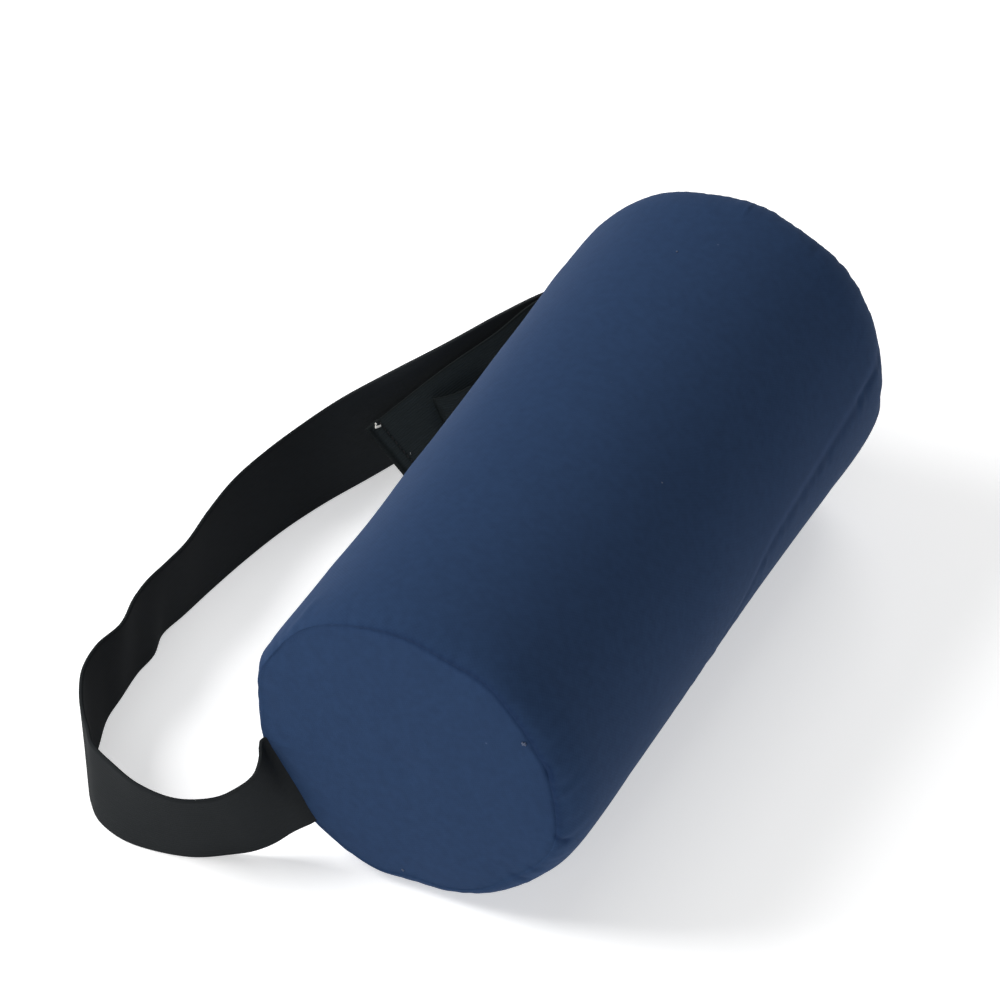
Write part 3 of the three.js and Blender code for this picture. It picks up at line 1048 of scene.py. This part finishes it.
        flat_disc = ((rows["disc"][:-1] > 0) | (rows["disc"][1:] > 0))[:, 0][corner_rows[:, 0]]
        steps = np.linalg.norm(np.diff(points[:, width // 3], axis=0), axis=1)
        length = np.concatenate([[0], np.cumsum(steps)])
        whole_arcs = np.append(arcs, 2 * math.pi * ROLL_RADIUS)
        tube_uv = np.stack([whole_arcs[corner_columns], length[corner_rows]], axis=2)
        grain = math.radians(self.disc_grain)
        x, z = corners[:, 0], corners[:, 2] - AXIS_HEIGHT
        plane = np.stack(
            [x * math.cos(grain) - z * math.sin(grain), x * math.sin(grain) + z * math.cos(grain)], axis=1
        )
        quad_uv = np.where(flat_disc[:, None, None], plane[quads], tube_uv)
        uv = np.concatenate([quad_uv.reshape(-1, 2), plane[np.array(fans).ravel()]])
        set_uv(piece, uv)
        for name, values in (("painted_shading", painted_shading), ("painted_highlight", painted_highlight)):
            set_attribute(piece, name, np.append(values.ravel(), [0, 0]))
        return piece


class EdgeCurve:
    """A smooth curve through points, bent least where they lie close together."""

    def __init__(self, points: np.ndarray) -> None:
        """Keep the points, with one more beyond each end."""
        first, last = 2 * points[0] - points[1], 2 * points[-1] - points[-2]
        self.points = np.vstack([first, points, last])

    def at(self, place: np.ndarray) -> np.ndarray:
        """The curve's points at places counted in points from its start."""
        i = np.clip(np.floor(place).astype(int), 0, len(self.points) - 4)
        t = (place - i)[:, None]
        p = [self.points[i + k] for k in range(4)]
        spans = [np.sum((p[k + 1] - p[k]) ** 2, axis=1, keepdims=True) for k in range(3)]
        gaps = [np.maximum(span**0.25, 1e-4) for span in spans]
        start = (p[1] - p[0]) / gaps[0] - (p[2] - p[0]) / (gaps[0] + gaps[1]) + (p[2] - p[1]) / gaps[1]
        stop = (p[2] - p[1]) / gaps[1] - (p[3] - p[1]) / (gaps[1] + gaps[2]) + (p[3] - p[2]) / gaps[2]
        start, stop = start * gaps[1], stop * gaps[1]
        square = -3 * p[1] + 3 * p[2] - 2 * start - stop
        cube = 2 * p[1] - 2 * p[2] + start + stop
        return p[1] + start * t + square * t**2 + cube * t**3


class StrapPath:
    """The surface that a flat strap follows, between its lower and its upper edge."""

    def __init__(self, rows: Rows) -> None:
        """Lay the two edges through the rows."""
        table = np.array(rows, float)
        over = table[:, 3:5]
        rise = np.sqrt(STRAP_WIDTH**2 - np.sum(over**2, axis=1))
        low = table[:, :3]
        top = low + np.column_stack([over, rise])
        self.last = len(rows) - 1
        self.low, self.top = EdgeCurve(low), EdgeCurve(top)
        fine = np.linspace(0, self.last, 1600)
        middle = (self.low.at(fine) + self.top.at(fine)) / 2
        gone = np.concatenate([[0], np.cumsum(np.linalg.norm(np.diff(middle, axis=0), axis=1))])
        self.fine, self.gone = fine, gone

    @property
    def length(self) -> float:
        """The strap's length along its middle."""
        return float(self.gone[-1])

    def at(self, length: np.ndarray, share: np.ndarray) -> tuple[np.ndarray, np.ndarray, np.ndarray]:
        """Read the surface.

        Args:
            length: Lengths along the strap's middle, in mm.
            share: How far up the strap, from its lower edge at 0 to its upper edge at 1.

        Returns:
            The points, the way the strap faces there, and the way it runs.
        """
        place = np.interp(length, self.gone, self.fine)
        low, top = self.low.at(place), self.top.at(place)
        step = 0.02
        before, after = np.maximum(place - step, 0), np.minimum(place + step, self.last)
        runs = [curve.at(after) - curve.at(before) for curve in (self.low, self.top)]
        runs = [run / np.linalg.norm(run, axis=1, keepdims=True) for run in runs]
        along = runs[0] * (1 - share)[:, None] + runs[1] * share[:, None]
        facing = np.cross(along, top - low)
        facing /= np.linalg.norm(facing, axis=1, keepdims=True)
        along /= np.linalg.norm(along, axis=1, keepdims=True)
        return low + (top - low) * share[:, None], facing, along


@dataclass(frozen=True)
class Section:
    """A strap's cross section: two ribbed faces and rounded edges."""

    width: float
    thickness: float
    rib_pitch: float
    rib_height: float
    points_per_rib: int = 4
    edge_points: int = 5

    def outline(self) -> np.ndarray:
        """The section as places across the width and depths from its middle, once round.

        Returns:
            One row for each point: how far across in mm, and how far to the front in mm.
        """
        half = self.thickness / 2
        bend = np.linspace(-math.pi / 2, math.pi / 2, self.edge_points + 2)[1:-1]
        low = np.column_stack([half - half * np.cos(bend), half * np.sin(bend)])
        count = max(2, round((self.width - self.thickness) / self.rib_pitch * self.points_per_rib))
        across = np.linspace(half, self.width - half, count + 1)
        rib = self.rib_height / 2 * (np.cos(2 * math.pi * across / self.rib_pitch) - 1)
        front = np.column_stack([across, half + rib])
        back = np.column_stack([across[::-1], -half - rib[::-1]])
        high = np.column_stack([self.width - low[:, 0], low[:, 1]])[::-1]
        return np.vstack([low, front, high, back])

    def selvedge(self) -> np.ndarray:
        """How far each point of the outline belongs to one of the strap's edges, from 0 to 1."""
        across = self.outline()[:, 0]
        return np.clip((1.1 - np.minimum(across, self.width - across)) / 0.8, 0, 1)


@dataclass(frozen=True)
class Layer:
    """Where a strap's sections lie: length along the path, depth, turn, place on the cut strap, and shade."""

    length: np.ndarray
    depth: np.ndarray
    turn: np.ndarray
    cut: np.ndarray
    shade: np.ndarray


def closed_strap(
    name: str, points: np.ndarray, section: Section, cut: np.ndarray, edge_shade: np.ndarray
) -> bpy.types.Object:
    """Close rows of a strap's section into a solid.

    Args:
        name: The piece's name.
        points: The sections' points in mm, row by row.
        section: The strap's cross section.
        cut: Each row's place along the cut strap, in mm.
        edge_shade: How much painted shade each point gets, at the strap's edges, folds, stitch row and cut
            ends.

    Returns:
        The closed strap, with its UV map in mm across and along.
    """
    across = section.outline()[:, 0]
    rows, loop = len(cut), len(across)
    corner_rows, corner_columns, quads = ring_faces(rows, loop)
    caps = [tuple(range(loop)), tuple(range((rows - 1) * loop, rows * loop))]
    piece = mesh_piece(name, points, quads.tolist() + caps)
    around = np.append(across, across[0])
    uv = np.stack([around[corner_columns], cut[corner_rows]], axis=2).reshape(-1, 2)
    ends = np.column_stack([np.tile(across, 2), np.repeat(cut[[0, -1]], loop)])
    set_uv(piece, np.vstack([uv, ends]))
    set_attribute(piece, "edge", np.clip(edge_shade, 0, 1))
    face_outwards(piece)
    return piece


def strap_mesh(name: str, path: StrapPath, section: Section, layer: Layer) -> bpy.types.Object:
    """Draw a section along a strap's path.

    Args:
        name: The piece's name.
        path: The surface that the strap follows.
        section: The strap's cross section.
        layer: Where the sections lie; a turned one stands at the strap's folded end.

    Returns:
        The closed strap.
    """
    outline = section.outline()
    rows, loop = len(layer.length), len(outline)
    length = np.repeat(layer.length, loop)
    share = np.tile(outline[:, 0] / section.width, rows)
    point, facing, along = path.at(np.maximum(length, 0), share)
    turn = np.repeat(layer.turn, loop)[:, None]
    thick = facing * np.cos(turn) - along * np.sin(turn)
    sunk = np.repeat(layer.depth, loop)[:, None]
    beyond = np.minimum(length, 0)[:, None]
    points = point + along * beyond + facing * sunk + thick * np.tile(outline[:, 1], rows)[:, None]
    points[:, 2] = np.maximum(points[:, 2], FLOOR_GAP)
    # Painted shade at the selvedges and on the rows that the layer shades.
    edge_shade = np.tile(section.selvedge(), rows) + np.repeat(layer.shade, loop)
    return closed_strap(name, points, section, layer.cut, edge_shade)


@dataclass(frozen=True)
class Strap:
    """The long flat strap, sewn into both end seams."""

    thickness: float = 1.6
    rib_pitch: float = 1.9
    rib_height: float = 0.02
    step: float = 2.2
    outer_paling: float = 0.25

    def build(self) -> bpy.types.Object:
        """Draw the strap from the near end seam round to the far one."""
        path = StrapPath(BAND_ROWS)
        count = round(path.length / self.step)
        length = np.linspace(0, path.length, count + 1)
        still = np.zeros_like(length)
        section = Section(STRAP_WIDTH, self.thickness, self.rib_pitch, self.rib_height)
        piece = strap_mesh("strap_elastic_band", path, section, Layer(length, still, still, length, still))
        # Painted light on the inner face towards the far end; the outer face is paler all over.
        inner = section.outline()[:, 1] > 0
        along_roll = path.at(length, still + 1)[0][:, 1]
        paling = np.clip(smooth_reading(BAND_PAINTED_LIGHT, along_roll), 0, 1)[:, None]
        set_attribute(piece, "paling", np.where(inner, paling, self.outer_paling))
        return piece


@dataclass(frozen=True)
class Tab:
    """The short webbing tab at the far end, hemmed at its free end, with a second ply on its inner face."""

    thickness: float = 1.4
    rib_pitch: float = 1.0
    rib_height: float = 0.07
    step: float = 2.4
    hem: float = 6.2
    hem_gap: float = 0.12
    stitch_row: float = 4.6
    stitch_pitch: float = 2.4
    stitch_sink: float = 0.32
    ply_along: float = 29.2
    ply_down: float = 6.6
    ply_turn: float = 17.0
    ply_length: float = 24.0
    ply_width: float = 25.0
    ply_gap: float = 0.35
    ply_lift: float = 2.6
    ply_bow: float = 0.9

    # Distances of the mesh rows from the folded end, close together at the stitches
    hem_rows: tuple[float, ...] = (0.5, 1.2, 2.2, 3.2, 3.9, 4.3, 4.6, 4.9, 5.3, 5.8, 6.4, 7.2, 8.2)

    # Thread ends: distance from the folded end, from the upper edge, turn in degrees, length, radius, lift
    thread_ends: tuple[tuple[float, float, float, float, float, float], ...] = (
        (2.5, 1.9, 75, 2.7, 0.44, 0.4),
        (2.5, 0.4, 20, 0.8, 0.3, 0.5),
        (1.9, 1.0, -45, 1.5, 0.22, 0.4),
        (6.2, 18.4, -30, 0.8, 0.07, 0.05),
    )

    def build(self) -> bpy.types.Object:
        """Draw the tab from its turned-under hem to the far end seam."""
        path = StrapPath(TAB_ROWS)
        radius = (self.thickness + self.hem_gap) / 2
        under = np.linspace(self.hem, 0.6, 8)
        fold = np.linspace(math.pi, 0, 9)[1:-1]
        rest = np.arange(9.5, path.length, self.step)
        over = np.concatenate([self.hem_rows, rest, [path.length]])
        length = np.concatenate([under, -radius * np.sin(fold), over])
        depth = np.concatenate([np.full_like(under, -2 * radius), radius * np.cos(fold) - radius, 0 * over])
        depth[-len(over) :] = -self.stitch_sink * bell(over - self.stitch_row, 0.5)
        turn = np.concatenate([np.full_like(under, math.pi), fold, 0 * over])
        cut = np.concatenate([-under, 0 * fold, over])
        # Painted shade at the folded end and along the stitch row.
        shade = np.clip(1 - np.abs(cut) / 0.9, 0, 1)
        shade[-len(over) :] += 0.7 * bell(over - self.stitch_row, 0.6)
        section = Section(STRAP_WIDTH, self.thickness, self.rib_pitch, self.rib_height)
        return strap_mesh("strap_webbing_tab", path, section, Layer(length, depth, turn, cut, shade))

    def on_face(self, path: StrapPath, along: float, down: float, lift: float) -> tuple[Vector, Matrix]:
        """A place on the tab's inner face.

        Args:
            path: The tab's path.
            along: Distance from the folded end in mm.
            down: Distance from the upper edge in mm.
            lift: Height over the face in mm.

        Returns:
            The place, and the axes there: across the strap, along it, and out of it.
        """
        share = np.array([1 - down / STRAP_WIDTH])
        point, facing, run = (part[0] for part in path.at(np.array([along]), share))
        across = np.cross(run, facing)
        axes = Matrix((across.tolist(), run.tolist(), facing.tolist())).transposed()
        return Vector(point + facing * (self.thickness / 2 + lift)), axes

    def build_ply(self) -> bpy.types.Object:
        """Draw the short second ply, turned a little against the tab, with one corner lifting."""
        path = StrapPath(TAB_ROWS)
        turn = math.radians(self.ply_turn)
        section = Section(self.ply_width, self.thickness, self.rib_pitch, self.rib_height)
        outline = section.outline()
        steps = np.linspace(0, 1, 13)
        points = []
        for p in steps:
            for across, depth in outline:
                q = 1 - across / self.ply_width
                along = self.ply_along + p * self.ply_length * math.cos(turn)
                along -= q * self.ply_width * math.sin(turn)
                down = self.ply_down + p * self.ply_length * math.sin(turn)
                down += q * self.ply_width * math.cos(turn)
                down += self.ply_bow * math.sin(math.pi * min(1, p / 0.6))
                lift = self.ply_gap + self.ply_lift * p * (1 - q) + self.thickness / 2 + depth
                place, _ = self.on_face(path, along, down, lift)
                points.append((place.x, place.y, max(place.z, FLOOR_GAP)))
        # Painted shade along the ply's selvedges and its cut ends.
        cut_ends = (steps == 0) | (steps == 1)
        edge_shade = np.tile(section.selvedge(), len(steps)) + np.repeat(cut_ends, len(outline))
        cut = steps * self.ply_length
        return closed_strap("strap_webbing_ply", np.array(points), section, cut, 0.9 * edge_shade)

    def build_stitches(self) -> bpy.types.Object:
        """Sew the row of stitches that holds the hem."""
        path = StrapPath(TAB_ROWS)
        count = int((STRAP_WIDTH - 4) / self.stitch_pitch)
        stitches = []
        for i in range(count + 1):
            down = 2 + i * self.stitch_pitch
            place, axes = self.on_face(path, self.stitch_row, down, -0.2)
            stitches.append(stitch(Thread.BLACK, 1.5, STITCH_RADIUS, place, axes))
        return joined("hem_stitches", stitches)

    def build_thread_ends(self) -> bpy.types.Object:
        """Leave the undyed thread's tail at the hem's upper corner, and a fleck of it by the stitches."""
        path = StrapPath(TAB_ROWS)
        ends = []
        for along, down, turn, size, radius, lift in self.thread_ends:
            place, axes = self.on_face(path, along, down, lift)
            axes = axes @ Matrix.Rotation(math.radians(turn), 3, "Z")
            ends.append(stitch(Thread.UNDYED, size, radius, place, axes))
        return joined("hem_thread_ends", ends)


def stitch(thread: Thread, length: float, radius: float, place: Vector, axes: Matrix) -> bpy.types.Object:
    """Model a stitch of thread and lay it in place.

    Args:
        thread: Which thread it is.
        length: The stitch's length in mm.
        radius: The thread's radius in mm.
        place: Its middle in mm.
        axes: Its axes: the first runs along the stitch.

    Returns:
        The stitch, with its place in its mesh.
    """
    deselect()
    bpy.ops.mesh.primitive_cylinder_add(vertices=8, radius=radius * MM, depth=length * MM)
    piece = bpy.context.object
    piece.name = f"{thread.value}_stitch"
    bpy.ops.object.mode_set(mode="EDIT")
    bpy.ops.mesh.select_all(action="SELECT")
    bpy.ops.mesh.bevel(offset=radius * 0.6 * MM, segments=2, affect="EDGES", clamp_overlap=True)
    bpy.ops.object.mode_set(mode="OBJECT")
    bpy.ops.object.shade_smooth()
    lying = Matrix(((0, 0, 1), (0, 1, 0), (-1, 0, 0)))
    for corner in piece.data.vertices:
        local = lying @ corner.co
        local.z -= 0.25 * radius * MM * (2 * abs(local.x) / (length * MM)) ** 2
        corner.co = axes @ local + place * MM
    return piece


def joined(name: str, parts: list[bpy.types.Object]) -> bpy.types.Object:
    """Join small pieces into one object."""
    deselect()
    for part in parts:
        part.select_set(True)
    bpy.context.view_layer.objects.active = parts[0]
    bpy.ops.object.join()
    whole = bpy.context.object
    whole.name = whole.data.name = name
    return whole


@dataclass(frozen=True)
class Lint:
    """Bits of pale fibre that cling to the cover."""

    spots: tuple[tuple[Point, float], ...] = (
        ((44.4, -132.9, 91.4), 1.9),
        ((-2.9, -132.8, 9.6), 1.1),
        ((-5.9, 89.1, 126.3), 0.7),
        ((38.3, -14.0, 113.5), 0.7),
    )
    seed: int = 5

    def build(self) -> bpy.types.Object:
        """Lay the fibres on the cover, each turned its own way."""
        rng = np.random.default_rng(self.seed)
        fibres = []
        for place, size in self.spots:
            middle = Vector((0, place[1], AXIS_HEIGHT))
            outwards = (Vector(place) - middle).normalized()
            on_disc = abs(place[1]) > 130
            out = Vector((0, math.copysign(1, place[1]), 0)) if on_disc else outwards
            axes = out.to_track_quat("Z", "X").to_matrix()
            for _ in range(4):
                turned = axes @ Matrix.Rotation(rng.uniform(0, math.pi), 3, "Z")
                fibres.append(stitch(Thread.LINT, size, STITCH_RADIUS, Vector(place), turned))
        return joined("cover_lint", fibres)


@dataclass(frozen=True)
class Studio:
    """A pale floor, soft boxes round the object and the camera."""

    camera_place: Point = (0.7125, -1.4619, 1.5226)
    right: Point = (0.89101, 0.45399, 0.0)
    back: Point = (0.33949, -0.66630, 0.66393)
    lens: float = 219.3
    ambient: float = 0.16
    table_glow: float = 0.46
    boxes: tuple[tuple[str, Point, float, float], ...] = (
        ("key_box", (-1.5, -0.6, 1.5), 1.1, 42.0),
        ("front_box", (0.7, -2.0, 1.1), 1.2, 14.0),
        ("back_box", (-0.2, 1.7, 1.6), 1.2, 14.5),
    )

    def build(self) -> None:
        """Set the floor, the lights and the camera."""
        deselect()
        bpy.ops.mesh.primitive_plane_add(size=9.0, location=(0, 0, 0))
        floor = bpy.context.object
        floor.name = "studio_floor"
        material, tree, shader = new_material("white_acrylic_light_table")
        colour = mixed(tree, noise(tree, 900.0, 2.0), "#f4f4f4", "#f6f6f6")
        tree.links.new(colour, shader.inputs["Base Color"])
        shader.inputs["Roughness"].default_value = 0.95
        shader.inputs["Specular IOR Level"].default_value = 0.1
        shader.inputs["Emission Color"].default_value = (1, 1, 1, 1)
        shader.inputs["Emission Strength"].default_value = self.table_glow
        floor.data.materials.append(material)

        world = bpy.data.worlds.new("studio_air")
        world.use_nodes = True
        air = world.node_tree.nodes["Background"].inputs
        air["Color"].default_value = (1, 1, 1, 1)
        air["Strength"].default_value = self.ambient
        bpy.context.scene.world = world
        for name, location, size, power in self.boxes:
            light = bpy.data.lights.new(name, "AREA")
            light.shape = "SQUARE"
            light.size = size
            light.energy = power
            box = bpy.data.objects.new(name, light)
            box.location = location
            box.rotation_euler = (-Vector(location)).to_track_quat("-Z", "Y").to_euler()
            bpy.context.scene.collection.objects.link(box)

        data = bpy.data.cameras.new("studio_camera")
        data.sensor_width = 36
        data.lens = self.lens
        data.dof.use_dof = False
        camera = bpy.data.objects.new("studio_camera", data)
        right, back = Vector(self.right), Vector(self.back)
        axes = Matrix((right, back.cross(right), back)).transposed().to_4x4()
        camera.matrix_world = Matrix.Translation(self.camera_place) @ axes
        bpy.context.scene.collection.objects.link(camera)
        bpy.context.scene.camera = camera
        bpy.context.scene.view_settings.view_transform = "Standard"


def dress(piece: bpy.types.Object, material: bpy.types.Material, slot: str, *nodes: str) -> None:
    """Give a piece its material, ride it on the body and hide the CAD nodes that it stands for."""
    piece.data.materials.clear()
    piece.data.materials.append(material)
    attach(piece, "root")
    if nodes:
        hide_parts(*nodes)
    log.info("%s: %d faces", piece.name, len(piece.data.polygons))


def main() -> None:
    """Build each piece of the lumbar roll, then the studio round it."""
    logging.basicConfig(level=logging.INFO, format="%(name)s: %(message)s")
    studio = Studio()
    studio.build()

    cover = Cover().build(SettledForm().settle())
    dress(cover, CoverCloth().material(), "cover_cloth", "roll")

    band = Strap().build()
    dress(band, ELASTIC.material(), "strap_elastic", "strap_band")

    tab_maker = Tab()
    webbing, black, undyed = WEBBING.material(), BLACK_THREAD.material(), UNDYED_THREAD.material()
    tab, ply = tab_maker.build(), tab_maker.build_ply()
    stitches, ends = tab_maker.build_stitches(), tab_maker.build_thread_ends()
    dress(tab, webbing, "strap_webbing", "strap_tab")
    dress(ply, webbing, "strap_webbing", "strap_ply")
    dress(stitches, black, "strap_webbing")
    dress(ends, undyed, "strap_webbing")

    lint = Lint().build()
    dress(lint, GREY_LINT.material(), "cover_cloth")


if __name__ == "__main__":
    main()
